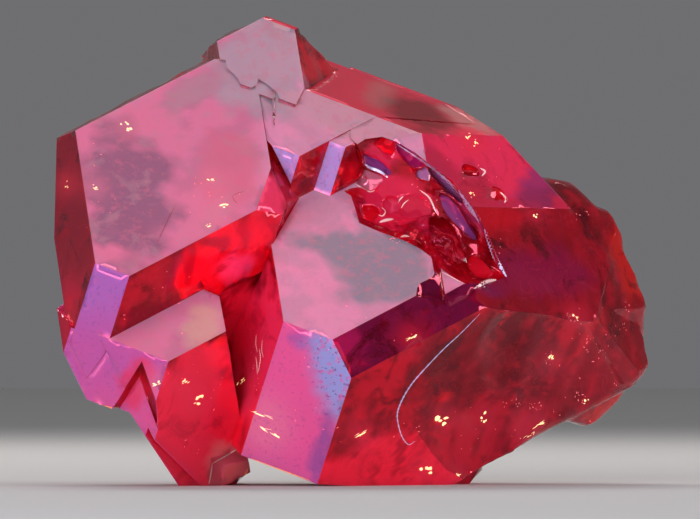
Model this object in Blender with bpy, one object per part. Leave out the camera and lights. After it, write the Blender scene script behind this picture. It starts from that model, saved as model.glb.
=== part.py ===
"""Cuprite: one cluster of cube-octahedral crystals grown together along shared axes.

One closed body.  Every block is a crystal cut by lattice planes, each plane named by its
Miller indices and set at a distance from the common centre.  The blocks are joined in
parallel growth, then the broken places and the resting cut are taken away.
"""
import itertools
import math

import bmesh
import bpy
import numpy as np
from mathutils import Matrix, Vector

for ob in list(bpy.data.objects):
    bpy.data.objects.remove(ob, do_unlink=True)

MM = 0.001

# ---- driving dimensions (mm and degrees) -------------------------------------------
# The crystal's three cube axes as it stands: X right, Y away, Z up.
AXIS_100 = (-0.2653, -0.9468, -0.1820)
AXIS_010 = (0.8569, -0.3180, 0.4056)
AXIS_001 = (-0.4419, -0.0484, 0.8957)
BIG = 40.0             # size of the rough a block is cut from
BASE_LEVEL = -8.27     # the resting cut, below the common centre

# Octahedral terraces (1,1,1), from the centre
TERRACE_SHOULDER = 3.74
TERRACE_CROWN = 3.82
TERRACE_RIDGE = 3.70
TERRACE_HEART = 2.10
TERRACE_SHELF = 1.72
TERRACE_LEDGE = 1.60
# Cube faces (1,0,0)
CUBE_SHOULDER = 7.97
CUBE_HEART = 5.46
CUBE_RIDGE = 1.28
CUBE_NOTCH = 0.29
# Octahedral flanks (1,1,-1) and (1,-1,1)
FLANK_SHOULDER = 0.27
FLANK_SHELF = 2.20
FLANK_HEART = 5.76
FLANK_RIDGE = -0.90
FLANK_NOTCH = -0.38
FLANK_EAST = 5.45
WEST_SHOULDER = 10.04
WEST_HEART = 3.03
# Dodecahedral band (1,1,0) and the vicinal east faces (2,7,2) and (2,5,0)
BAND_HEART = 4.26
EAST_UPPER = 4.97
EAST_LOWER = 5.05
# The shell-like break in the east side: its outline seen from the front, X and Z, the
# place it rings round and how far back its floor lies
BREAK_OUTLINE = (
    (0.99, 4.24), (1.29, 4.44), (1.91, 4.53), (2.43, 4.35), (3.13, 3.94), (3.76, 3.42),
    (4.49, 2.95), (5.01, 2.21), (5.45, 1.58), (5.71, 1.11), (5.97, 0.44), (6.19, -0.29),
    (6.44, -0.63), (5.89, -0.87), (5.25, -1.05), (4.93, -0.85), (4.49, -0.63), (4.01, -0.41),
    (3.79, -0.13), (3.70, 0.12), (3.31, 0.41), (2.72, 0.71), (1.84, 1.03), (1.07, 1.36),
    (0.92, 1.91), (0.77, 2.36), (0.31, 2.58), (0.52, 2.72), (0.74, 3.13), (0.88, 3.68))
BREAK_EYE = (3.6, 1.9)
BREAK_FLOOR = -0.15
# The grown-together inside that all the crystals spring from: its outline from the front
BULK_OUTLINE = (
    (-9.57, 4.05), (-9.83, 1.10), (-9.54, -1.84), (-9.35, -2.87), (-5.45, -7.00), (4.60, -8.03),
    (9.57, -5.96), (10.97, -5.08), (11.71, -3.24), (11.27, -0.81), (10.02, 1.40), (6.26, 4.05),
    (2.87, 5.96), (0.00, 7.14), (-2.50, 8.03), (-4.57, 7.22))
# Two roots under the far half, that the cluster stands on with its front edges
ROOT_EAST = (
    (-0.22, -8.84), (4.57, -8.84), (5.67, -7.73), (5.15, -5.52), (0.55, -5.52))
ROOT_WEST = (
    (-5.82, -6.44), (-5.49, -8.84), (-3.83, -8.84), (-3.17, -7.81), (-3.31, -6.26))
# The far side of the whole cluster, where it broke from its rock
BACK = (((0.05, 0.99, 0.12), 6.70), ((-0.09, 0.76, -0.65), 8.45), ((0.0, 0.93, -0.36), 7.30),
        ((0.40, 0.88, 0.10), 9.45), ((-0.60, 0.80, 0.02), 9.10))


def to_world(hkl):
    """Unit outward normal of a lattice plane: h, k, l times the three cube axes, summed."""
    axes = np.array([AXIS_100, AXIS_010, AXIS_001])
    v = np.array(hkl, float) @ axes
    return Vector(v / np.linalg.norm(v))


def cut_block(name, faces):
    """The body left when a cube of rough is cut by one plane per face.

    faces is a list of (hkl or unit normal, distance in mm).  Its corners are the points
    where three of the planes meet and that no other plane cuts off.
    """
    planes = [(face if isinstance(face, Vector) else to_world(face), dist)
              for face, dist in faces]
    for axis in ((1, 0, 0), (0, 1, 0), (0, 0, 1)):
        planes += [(Vector(axis), BIG / 2), (-Vector(axis), BIG / 2)]
    normals = np.array([n[:] for n, _ in planes])
    dists = np.array([d for _, d in planes])
    corners = []
    for trio in itertools.combinations(range(len(planes)), 3):
        sub = normals[list(trio)]
        if abs(np.linalg.det(sub)) < 1e-4:
            continue
        point = np.linalg.solve(sub, dists[list(trio)])
        if np.all(normals @ point <= dists + 1e-6):
            corners.append(point)
    bm = bmesh.new()
    for point in corners:
        bm.verts.new(point)
    bmesh.ops.remove_doubles(bm, verts=bm.verts[:], dist=1e-4)
    hull = bmesh.ops.convex_hull(bm, input=bm.verts[:], use_existing_faces=False)
    inner = {g for g in hull["geom_interior"] if isinstance(g, bmesh.types.BMVert)}
    if inner:
        bmesh.ops.delete(bm, geom=list(inner), context="VERTS")
    bmesh.ops.dissolve_limit(bm, angle_limit=1e-3, verts=bm.verts[:], edges=bm.edges[:])
    bmesh.ops.recalc_face_normals(bm, faces=bm.faces[:])
    me = bpy.data.meshes.new(name)
    bm.to_mesh(me)
    bm.free()
    ob = bpy.data.objects.new(name, me)
    bpy.context.scene.collection.objects.link(ob)
    return ob


def ray(azimuth, tilt):
    """Unit direction: azimuth in the upright plane facing the front, tilt from the front."""
    a, t = math.radians(azimuth), math.radians(tilt)
    return Vector((math.sin(t) * math.cos(a), -math.cos(t), math.sin(t) * math.sin(a)))


def dish(name, centre, normal, radii, depth, turn=0.0, seed=1, wobble=0.06, ripple=0.0,
         lift=0.2):
    """A shell-like break, used as a cutter: a shallow bowl open along the normal.

    Its floor lies depth * (1 - t*t) below the rim plane, t running from the middle to the
    rim; ripples ring the point of impact, which sits off the middle.  Above the rim the
    cutter stands up by lift so that nothing is left over the opening.
    """
    w = normal if isinstance(normal, Vector) else to_world(normal)
    side = Vector((0, 0, 1)).cross(w).normalized()
    u = Matrix.Rotation(math.radians(turn), 3, w) @ side
    v = w.cross(u)
    rng = np.random.default_rng(seed)
    phase = rng.uniform(0, 6.28, 4)
    middle = Vector(centre)
    bm = bmesh.new()
    rows = []
    steps = [0.22, 0.44, 0.64, 0.82, 1.0, 1.3]
    spokes = 24
    for t in steps:
        row = []
        for j in range(spokes):
            a = 2 * math.pi * j / spokes
            r = t * (1 + wobble * (math.sin(2 * a + phase[0]) + 0.6 * math.sin(3 * a + phase[1])
                                   + 0.5 * math.sin(5 * a + phase[2])))
            x, y = radii[0] * r * math.cos(a), radii[1] * r * math.sin(a)
            hit = math.hypot(x / radii[0] - 0.7, y / radii[1])
            z = -depth * (1 - t * t) + ripple * math.sin(9.0 * hit + phase[3])
            row.append(bm.verts.new(middle + u * x + v * y + w * z))
        rows.append(row)
    rows.append([bm.verts.new(v.co + w * lift) for v in rows[-1]])
    low = bm.verts.new(middle - w * depth)
    top = bm.verts.new(middle + w * (depth * 0.69 + lift))
    for j in range(spokes):
        k = (j + 1) % spokes
        bm.faces.new((low, rows[0][k], rows[0][j]))
        bm.faces.new((top, rows[-1][j], rows[-1][k]))
        for near, far in zip(rows, rows[1:]):
            bm.faces.new((near[j], near[k], far[k], far[j]))
    bmesh.ops.triangulate(bm, faces=bm.faces[:])
    bmesh.ops.recalc_face_normals(bm, faces=bm.faces[:])
    me = bpy.data.meshes.new(name)
    bm.to_mesh(me)
    bm.free()
    ob = bpy.data.objects.new(name, me)
    bpy.context.scene.collection.objects.link(ob)
    return ob


def shell_break(name, body, outline, eye, floor, ripple=0.07, rings=7, lift=4.0):
    """A shell-like break with a given outline, used as a cutter from the front.

    The rim is the outline laid on the body's front; the outline is drawn round the eye in
    rings, t from 0 to 1, and the surface goes from the floor to the rim as t**2.6, with a
    ripple that rings the eye.
    """
    rim = []
    for x, z in outline:
        hit, at, _, _ = body.ray_cast(Vector((x, -BIG, z)), Vector((0, 1, 0)))
        rim.append((x, at.y if hit else floor, z))
    bm = bmesh.new()
    rows = []
    for i in range(rings):
        t = (i + 1) / rings
        row = []
        for x, y, z in rim:
            px, pz = eye[0] + t * (x - eye[0]), eye[1] + t * (z - eye[1])
            away = math.hypot(px - eye[0], pz - eye[1])
            back = floor + (y - floor) * t ** 2.6 + ripple * math.sin(5.2 * away) * (1 - t ** 3)
            row.append(bm.verts.new((px, back, pz)))
        rows.append(row)
    rows.append([bm.verts.new(v.co - Vector((0, lift, 0))) for v in rows[-1]])
    low = bm.verts.new((eye[0], floor, eye[1]))
    top = bm.verts.new((eye[0], floor - 2.2 * lift, eye[1]))
    n = len(rim)
    for j in range(n):
        k = (j + 1) % n
        bm.faces.new((low, rows[0][k], rows[0][j]))
        bm.faces.new((top, rows[-1][j], rows[-1][k]))
        for near, far in zip(rows, rows[1:]):
            bm.faces.new((near[j], near[k], far[k], far[j]))
    bmesh.ops.triangulate(bm, faces=bm.faces[:])
    bmesh.ops.recalc_face_normals(bm, faces=bm.faces[:])
    me = bpy.data.meshes.new(name)
    bm.to_mesh(me)
    bm.free()
    ob = bpy.data.objects.new(name, me)
    bpy.context.scene.collection.objects.link(ob)
    return ob


def combine(body, other, operation):
    """Boolean of two closed bodies, applied at once; the second one is removed."""
    mod = body.modifiers.new("step", "BOOLEAN")
    mod.operation = operation
    mod.solver = "EXACT"
    mod.object = other
    bpy.context.view_layer.update()
    dep = bpy.context.evaluated_depsgraph_get()
    me = bpy.data.meshes.new_from_object(body.evaluated_get(dep))
    body.modifiers.clear()
    old = body.data
    body.data = me
    bpy.data.meshes.remove(old)
    bm = bmesh.new()
    bm.from_mesh(me)
    bmesh.ops.remove_doubles(bm, verts=bm.verts[:], dist=5e-4)
    bmesh.ops.dissolve_limit(bm, angle_limit=2e-3, verts=bm.verts[:], edges=bm.edges[:])
    bm.to_mesh(me)
    bm.free()
    bpy.data.objects.remove(other, do_unlink=True)
    return body


def sides(outline):
    """The planes that stand upright on each side of an outline seen from the front."""
    mean_x = sum(x for x, _ in outline) / len(outline)
    mean_z = sum(z for _, z in outline) / len(outline)
    faces = []
    for (x0, z0), (x1, z1) in zip(outline, outline[1:] + outline[:1]):
        normal = Vector((z0 - z1, 0, x1 - x0)).normalized()
        if normal.x * (mean_x - x0) + normal.z * (mean_z - z0) > 0:
            normal = -normal
        faces.append((normal, normal.x * x0 + normal.z * z0))
    return faces


def on_plane(normal, dist, across, up):
    """A point of a plane, measured from the foot of the centre on it."""
    w = Vector(normal).normalized()
    side = Vector((0, 0, 1)).cross(w).normalized()
    return w * dist + side * across + w.cross(side) * up


def backs(cube, octa):
    """The far side of a block: its back cube face and back octahedral face."""
    return [((-1, 0, 0), cube), ((-1, -1, -1), octa)]


# ---- the east body: two vicinal faces and, behind them, the broken end ---------------
east = cut_block("east", [
    ((1, 1, 1), TERRACE_RIDGE), ((0, 1, 1), 5.40), ((2, 7, 2), EAST_UPPER),
    ((2, 5, 0), EAST_LOWER), ((1, 1, -1), FLANK_EAST), ((-2, 3, 1), 8.22),
    ((-1, 1, 1), 8.28), ((0, 0, -1), 9.36), (Vector((-1, 0, 0)), -0.75), (ray(8, 62), 7.50), (ray(34.8, 90), 9.05),
    (Vector((-0.70, -0.42, -0.57)).normalized(), -2.65)] + backs(7.3, 7.6))
stump = cut_block("stump", [
    ((2, 5, 0), EAST_LOWER - 0.03), ((1, 1, -1), FLANK_EAST - 0.06),
    (ray(82, 90), 4.17), (ray(45.5, 91), 8.45), (ray(27, 92), 10.05), (ray(13, 90), 11.05),
    (ray(-15, 91), 12.43), (ray(-61, 92), 10.2), (ray(-110, 90), 2.63),
    (ray(15, 56), 6.33), (ray(55, 55), 3.94), (ray(-25, 58), 7.13), (ray(-60, 65), 7.4),
    (ray(0, 180), 6.3), (ray(20, 125), 11.7), (ray(-40, 128), 13.0), (ray(80, 130), 6.6),
    (Vector((-1, 0, 0)), -6.3)])

# ---- the heart: the central terrace with cube face, band and flank -------------------
heart = cut_block("heart", [
    ((1, 1, 1), TERRACE_HEART), ((1, 0, 0), CUBE_HEART), ((1, -1, 1), WEST_HEART),
    ((1, 1, 0), BAND_HEART), ((1, 1, -1), FLANK_HEART), ((0, -1, -1), 6.62),
    ((2, 5, 0), EAST_LOWER - 0.05), ((2, 7, 2), EAST_UPPER - 0.07), ((0, 1, 1), 3.6), (ray(4, 62), 7.45),
    ((0, 0, -1), 9.42)] + backs(7.5, 7.9))
combine(heart, cut_block("gap", [((0, -1, 0), -3.95), ((-1, -1, -1), -TERRACE_LEDGE + 0.04)]),
        "DIFFERENCE")

# ---- the inside they all spring from ---------------------------------------------------
bulk = cut_block("bulk", sides(BULK_OUTLINE) + [
    ((1, 1, 1), 1.3), ((1, 0, 0), 0.1), ((1, 1, -1), 3.5), ((2, 5, 0), 4.0), ((2, 7, 2), 4.2),
    ((0, 1, 1), 5.2)] + backs(7.1, 7.3))

root_east = cut_block("root east", sides(ROOT_EAST) + [
    ((1, 0, 0), 1.7), ((1, 1, -1), 4.9)] + backs(8.1, 9.1))
root_west = cut_block("root west", sides(ROOT_WEST) + [
    ((1, 1, -1), 1.2), ((1, 1, 1), 0.5)] + backs(8.2, 9.2))

body = east
combine(body, stump, "UNION")
combine(body, heart, "UNION")
for block in (bulk, root_east, root_west):
    combine(body, block, "UNION")

# ---- the ridge: upper right, stepped along its lower edge ----------------------------
ridge = cut_block("ridge", [
    ((1, 1, 1), TERRACE_RIDGE + 0.01), ((0, 1, 1), 5.41), ((1, 0, 0), CUBE_RIDGE),
    ((1, 1, -1), FLANK_RIDGE), ((1, -1, 0), 0.64), ((0, 0, 1), 8.2), ((0, 0, -1), 0.5),
    ((-2, 3, 1), 7.9), ((-1, 1, 1), 8.1)] + backs(7.7, 7.5))
notch = cut_block("notch", [
    ((1, 1, 1), TERRACE_RIDGE - 0.02), ((0, 1, 1), 5.1), ((1, 0, 0), CUBE_NOTCH),
    ((1, 1, -1), FLANK_NOTCH), ((1, -1, 0), 0.2), ((0, 0, 1), 8.0), ((0, 0, -1), 0.7),
    ((-2, 3, 1), 7.8), ((-1, 1, 1), 8.05)] + backs(7.9, 8.1))

for block in (ridge, notch):
    combine(body, block, "UNION")

# ---- the shell-like break that opened the middle of the east side --------------------
combine(body, shell_break("break", body, BREAK_OUTLINE, BREAK_EYE, BREAK_FLOOR), "DIFFERENCE")

# ---- the shoulder: the large upper-left terrace with its cube and octahedral sides ---
shoulder = cut_block("shoulder", [
    ((1, 1, 1), TERRACE_SHOULDER), ((1, 0, 0), CUBE_SHOULDER),
    ((1, 1, -1), FLANK_SHOULDER), ((1, 1, -2), -0.15), ((1, -1, 1), WEST_SHOULDER),
    (Vector((0.675, -0.65, 0.349)).normalized(), 1.215), ((0, 1, 0), 0.25),
    ((0, 1, -1), -1.64),
    ((0, 0, 1), 8.47), ((1, -4, 2), 10.0), ((0, -1, 0), 7.72), ((0, -1, -1), 5.79),
    ((-1, 1, 1), 7.2), ((-1, -1, 1), 8.9)] + backs(7.4, 8.3))

# ---- the crown: a slightly higher layer over the top corner --------------------------
crown = cut_block("crown", [
    ((1, 1, 1), TERRACE_CROWN), ((0, 0, 1), 9.0), ((0, 1, 1), 6.9), ((0, 1, 0), 1.68),
    ((1, 0, 0), -0.41), ((1, -1, 1), 4.76), ((1, -2, 1), 3.6), ((0, 0, -1), -1.0),
    ((-1, 1, 1), 7.72), (ray(130, 90), 8.95)] + backs(7.2, 7.7))

# ---- the heel: the lowest left corner under the shoulder's cube face -----------------
heel = cut_block("heel", [
    ((1, 0, 0), CUBE_SHOULDER - 0.02), ((1, -1, 1), WEST_SHOULDER + 0.1),
    ((0, -1, 0), 8.1), ((1, -4, 2), 9.8), ((0, -1, -1), 6.0), ((0, 1, 1), -3.6),
    ((1, 1, -1), FLANK_SHELF - 0.35), (Vector((1, 0, 0)), -4.3), ((1, 1, 1), 1.6)] + backs(7.6, 8.4))

# ---- the shelf: the small lower-left terrace and the foot under it -------------------
cliff = Vector((0.985, 0.02, 0.17)).normalized()
shelf = cut_block("shelf", [
    ((1, 1, 1), TERRACE_SHELF), ((1, 1, -1), FLANK_SHELF), ((1, 0, 0), CUBE_SHOULDER + 0.02),
    ((0, -1, 0), 6.58), ((1, -1, 1), 9.9), ((0, 0, -1), 5.49), ((0, 0, 1), 2.0),
    (cliff, -4.28)] + backs(7.8, 7.8))
toe = cut_block("toe", [
    ((1, 1, -1), FLANK_SHELF - 0.3), ((1, 0, 0), CUBE_SHOULDER - 0.35), (ray(-147, 90), 9.15),
    ((0, -1, 0), 7.2), ((0, 0, -1), 5.65), ((1, 1, 1), 0.2), ((0, 0, 1), 0.0), (cliff, -4.22)]
    + backs(8.0, 8.2))
combine(shelf, cut_block("foot step", [(ray(123.6, 118), -4.52), (ray(162, 118), 0.36),
                                       ((-1, -1, 1), -FLANK_SHELF + 0.35)]), "DIFFERENCE")
combine(shelf, toe, "UNION")

for block in (shoulder, crown, heel, shelf):
    combine(body, block, "UNION")

# ---- chips, pits and the low break on the flank --------------------------------------
combine(body, dish("flank break", (7.07, 0.49, -5.0), (1, 1, -1), (6.0, 3.8), 0.5,
                   seed=7, wobble=0.04, ripple=0.04), "DIFFERENCE")
combine(body, cut_block("heel chip", [(ray(138, 118), -0.416), (ray(22, 118), -9.55),
                                      ((-1, 0, 0), -CUBE_SHOULDER + 0.4)]), "DIFFERENCE")
for centre, normal, radii, depth in (
        ((5.16, -0.04, 3.24), (2, 7, 2), (0.42, 0.20), 0.16),
        ((6.15, 0.13, 2.36), (2, 7, 2), (0.33, 0.24), 0.16),
        ((3.57, -3.27, -1.07), (2, 2, 1), (0.36, 0.26), 0.26)):
    combine(body, dish("pit", centre, normal, radii, depth, seed=2), "DIFFERENCE")

# ---- the far side: broken faces, with shell-like hollows in them ----------------------
for normal, dist in BACK:
    combine(body, cut_block("far side", [(-Vector(normal).normalized(), -dist)]), "DIFFERENCE")
for (normal, dist), across, up, radii, depth, seed in (
        (BACK[0], -4.0, 3.0, (3.6, 3.1), 0.60, 11),
        (BACK[0], 3.2, 2.2, (3.3, 2.9), 0.55, 12),
        (BACK[0], -0.6, -1.6, (3.2, 2.2), 0.45, 16),
        (BACK[2], 3.4, -1.6, (3.1, 1.9), 0.45, 13),
        (BACK[3], -1.0, 0.2, (1.9, 2.4), 0.40, 14),
        (BACK[1], -1.8, 0.6, (3.4, 2.2), 0.45, 15)):
    combine(body, dish("shell", on_plane(normal, dist, across, up), Vector(normal).normalized(),
                       radii, depth, seed=seed, turn=23 * seed, wobble=0.09, ripple=0.06,
                       lift=1.5), "DIFFERENCE")

# ---- resting cut ---------------------------------------------------------------------
floor = cut_block("floor", [(Vector((0, 0, 1)), BASE_LEVEL)])
combine(body, floor, "DIFFERENCE")

# ---- finish ---------------------------------------------------------------------------
body.name = "cuprite_crystal"
body.data.name = "cuprite_crystal"
bm = bmesh.new()
bm.from_mesh(body.data)
bmesh.ops.scale(bm, vec=(MM, MM, MM), verts=bm.verts[:])
bmesh.ops.remove_doubles(bm, verts=bm.verts[:], dist=2e-6)
bmesh.ops.recalc_face_normals(bm, faces=bm.faces[:])
xs = [v.co.x for v in bm.verts]
ys = [v.co.y for v in bm.verts]
zs = [v.co.z for v in bm.verts]
shift = Vector((-(min(xs) + max(xs)) / 2, -(min(ys) + max(ys)) / 2, -min(zs)))
bmesh.ops.translate(bm, vec=shift, verts=bm.verts[:])
bm.to_mesh(body.data)
bm.free()
mat = bpy.data.materials.new("cuprite")
mat.use_nodes = True
shader = mat.node_tree.nodes["Principled BSDF"]
shader.inputs["Base Color"].default_value = (0.42, 0.012, 0.03, 1.0)
shader.inputs["Roughness"].default_value = 0.15
shader.inputs["Metallic"].default_value = 0.0
body.data.materials.append(mat)
print("shift mm", [round(c * 1000, 3) for c in shift])
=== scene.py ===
"""Looks of a cuprite crystal: a clear deep red cluster of cube-octahedral crystals."""
import math

import bmesh
import bpy
import numpy as np
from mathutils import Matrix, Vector


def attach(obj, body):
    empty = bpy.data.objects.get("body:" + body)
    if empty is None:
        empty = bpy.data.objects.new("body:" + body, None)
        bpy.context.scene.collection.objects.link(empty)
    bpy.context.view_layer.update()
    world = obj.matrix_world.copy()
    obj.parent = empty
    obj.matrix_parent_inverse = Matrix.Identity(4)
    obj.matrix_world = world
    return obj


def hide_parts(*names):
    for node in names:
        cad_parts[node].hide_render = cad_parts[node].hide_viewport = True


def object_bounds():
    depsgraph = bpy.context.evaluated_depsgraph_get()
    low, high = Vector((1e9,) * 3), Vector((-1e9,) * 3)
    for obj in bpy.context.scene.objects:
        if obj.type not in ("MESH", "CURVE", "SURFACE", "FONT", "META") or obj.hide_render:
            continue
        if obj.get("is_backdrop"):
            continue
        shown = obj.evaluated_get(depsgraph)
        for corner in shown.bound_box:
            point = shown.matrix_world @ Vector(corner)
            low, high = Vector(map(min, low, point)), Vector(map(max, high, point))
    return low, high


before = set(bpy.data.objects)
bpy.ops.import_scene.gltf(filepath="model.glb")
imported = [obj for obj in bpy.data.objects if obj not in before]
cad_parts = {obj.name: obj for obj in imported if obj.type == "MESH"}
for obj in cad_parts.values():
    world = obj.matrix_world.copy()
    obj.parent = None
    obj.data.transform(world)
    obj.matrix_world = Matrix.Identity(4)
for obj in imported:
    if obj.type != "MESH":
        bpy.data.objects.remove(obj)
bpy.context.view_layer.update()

# ---- The stage ----------------------------------------------------------------------
# A pale matt disc that the crystal stands on, in a dim studio.  The soft lamps are a weak one
# overhead, a strong one in front, one on each side, and two behind, one to shine through the
# clear body and one to light the floor.
FLOOR_RADIUS, FLOOR_SIDES, FLOOR_GREY = 0.45, 96, 0.56      # metres, and how pale the disc is
floor_mesh = bpy.data.meshes.new("pale_floor")
ring = np.linspace(0, 2 * math.pi, FLOOR_SIDES, endpoint=False)
floor_mesh.from_pydata([(FLOOR_RADIUS * math.cos(a), FLOOR_RADIUS * math.sin(a), 0.0) for a in ring],
                       [], [tuple(range(FLOOR_SIDES))])
floor = bpy.data.objects.new("pale_floor", floor_mesh)
bpy.context.scene.collection.objects.link(floor)
floor_paint = bpy.data.materials.new("pale_floor")
floor_paint.use_nodes = True
paint = floor_paint.node_tree.nodes["Principled BSDF"]
paint.inputs["Base Color"].default_value = (FLOOR_GREY, FLOOR_GREY, FLOOR_GREY, 1)
paint.inputs["Roughness"].default_value = 0.9
paint.inputs["Specular IOR Level"].default_value = 0.1
floor_mesh.materials.append(floor_paint)
floor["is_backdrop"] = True

ROOM_FRONT, ROOM_BEHIND = 0.05, 0.158       # strength of the room's light
world = bpy.data.worlds.new("studio")
bpy.context.scene.world = world
world.use_nodes = True
sky, sky_links = world.node_tree.nodes, world.node_tree.links
sky["Background"].inputs["Color"].default_value = (1.0, 1.0, 1.05, 1)
way = sky.new("ShaderNodeSeparateXYZ")
sky_links.new(sky.new("ShaderNodeTexCoord").outputs["Generated"], way.inputs[0])
room = sky.new("ShaderNodeMapRange")
for socket, value in zip(room.inputs[1:5], (-0.5, 0.4, ROOM_FRONT, ROOM_BEHIND)):
    socket.default_value = value
sky_links.new(way.outputs["Y"], room.inputs[0])
sky_links.new(room.outputs[0], sky["Background"].inputs["Strength"])

AIM = (0, 0, 0.008)                         # the place that the lamps face


def lamp(name, place, size, radiance, colour):
    """A rectangular soft lamp at place that faces the crystal; its power in watts is
    radiance times its area times pi."""
    data = bpy.data.lights.new(name, "AREA")
    data.shape = "RECTANGLE"
    data.size, data.size_y = size
    data.energy = radiance * size[0] * size[1] * math.pi
    data.color = colour
    ob = bpy.data.objects.new(name, data)
    bpy.context.scene.collection.objects.link(ob)
    ob.location = place
    ob.rotation_euler = (Vector(AIM) - Vector(place)).to_track_quat("-Z", "Y").to_euler()


lamp("overhead", (0.014, -0.016, 0.13), (0.10, 0.085), 1.0, (1.0, 0.98, 0.98))
lamp("front", (-0.035, -0.22, 0.045), (0.14, 0.04), 12.5, (1.0, 0.96, 0.98))
lamp("left", (-0.13, -0.15, 0.03), (0.15, 0.10), 5.8, (0.88, 0.88, 1.0))
lamp("right", (0.18, -0.03, 0.02), (0.13, 0.10), 7.2, (1.0, 0.93, 0.94))
lamp("behind", (-0.03, 0.11, 0.11), (0.10, 0.06), 6.0, (1.0, 0.94, 0.90))
lamp("backdrop", (0.0, 0.45, 0.55), (0.50, 0.20), 2.0, (1.0, 0.98, 0.97))

SENSOR = 36.0                               # mm
AWAY, FIELD = 0.60, 0.02577                 # metres from the camera, and how wide it sees there
camera_data = bpy.data.cameras.new("camera")
camera = bpy.data.objects.new("camera", camera_data)
bpy.context.scene.collection.objects.link(camera)
camera_data.sensor_width = SENSOR
camera_data.lens = SENSOR * AWAY / FIELD
camera_data.clip_start, camera_data.clip_end = 0.01, 5.0
camera.location = (-0.000187, -AWAY, 0.008288)
camera.rotation_euler = (math.pi / 2, 0, 0)
bpy.context.scene.camera = camera
bpy.context.scene.view_settings.view_transform = "Standard"

# ---- The crystal ----------------------------------------------------------------------
# Cuprous oxide, clear deep red with an adamantine lustre, grown as one cluster.  Each kind of
# face has its own polish and its own painted light and shade: octahedral terraces with a pale
# painted sheen, etched cube faces with a painted lavender sheen, clear red flanks with painted
# glow, and broken places.
MM = 0.001
AXES = np.array([(-0.2653, -0.9468, -0.1820), (0.8569, -0.3180, 0.4056), (-0.4419, -0.0484, 0.8957)])
CENTRE = np.array([-0.923, -0.483, 8.270])    # mm, where the plane distances start
BEFORE = -0.05                                # metres, a plane in front of the crystal
LEVEL_ANGLE, RUBBED_ANGLE, SOFT_ANGLE = 0.4, 14, 24     # degrees: one face; rubbed; shaded smooth
# the lattice plane of each kind of face, how much light it lets in and how rough it is
KINDS = {"terrace": (1, 1, 1), "cube": (1, 0, 0), "flank": (1, 1, -1), "west": (1, -1, 1),
         "band": (1, 1, 0), "slope": (2, 7, 2), "roof": (0, 1, 1), "end": (2, 5, 0)}
CLEAR = {"broken": 0.58, "terrace": 0.36, "cube": 0.26, "flank": 0.50, "west": 0.50, "band": 0.62,
         "slope": 0.45, "roof": 0.22, "end": 0.52}
CHIP_CLEAR = 0.34
POLISH = {"broken": 0.06, "terrace": 0.20, "cube": 0.22, "flank": 0.06, "west": 0.06, "band": 0.07,
          "slope": 0.08, "roof": 0.09, "end": 0.10}

# the finest forms are cut out or joined on with thin plates: outlines in mm seen from the
# front, each between two distances from the centre along its face's normal.  The crown's top
# layer ends in small square-cut steps over the two terraces below it
STEP_EDGE = [(-5.4, 15.7), (-4.77, 15.63), (-4.73, 15.34), (-4.57, 15.21), (-4.28, 14.93),
             (-4.16, 14.56), (-3.99, 14.51), (-3.62, 14.72), (-3.56, 14.93), (-3.21, 14.72),
             (-2.84, 14.39), (-2.80, 14.06), (-2.23, 13.86), (-2.02, 14.31), (-1.90, 14.56),
             (-1.55, 14.50), (-1.55, 13.0), (-5.4, 14.1)]
STEP_LOW, STEP_EAST_LOW, STEP_TOP = 3.74, 3.71, 4.40
STEP_SPLIT = -3.0                             # east of this the steps go down a little more
STEP_CLOSE = [(-2.98, 13.0), (-2.98, 14.51)]
# the band's corner under the shell-like break
CORNER = [(3.30, 7.02), (3.97, 7.39), (4.70, 7.42), (4.62, 7.20), (3.40, 6.45), (3.22, 6.80)]
CORNER_LOW, CORNER_TOP = 3.20, 4.259
# a last thin layer of the eastern end face, grown down over its lower edge
LEDGE = [(4.45, 7.31), (5.04, 7.24), (5.78, 6.91), (6.81, 6.69), (7.77, 6.47), (8.80, 6.24),
         (8.80, 5.99), (8.06, 6.01), (7.18, 6.23), (5.34, 6.45), (4.75, 6.59), (4.45, 6.80)]
LEDGE_LOW, LEDGE_TOP = 4.60, 5.05
# a bite out of the heart's terrace beside that corner, down to a deeper band
BITE = [(2.98, 7.98), (2.92, 7.83), (2.85, 7.68), (2.61, 7.53), (2.37, 7.42), (2.26, 7.24),
        (2.23, 6.94), (3.13, 6.80), (3.16, 7.68)]
BITE_LOW, BITE_TOP = 3.72, 4.359
# the lower terrace's back corner is cut off, down to the flank behind it
BACK = [(-5.503, 7.18), (-5.02, 6.965), (-4.80, 6.87), (-4.80, 7.60), (-5.65, 7.60)]
BACK_LOW, BACK_TOP = 0.27, 2.60
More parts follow.
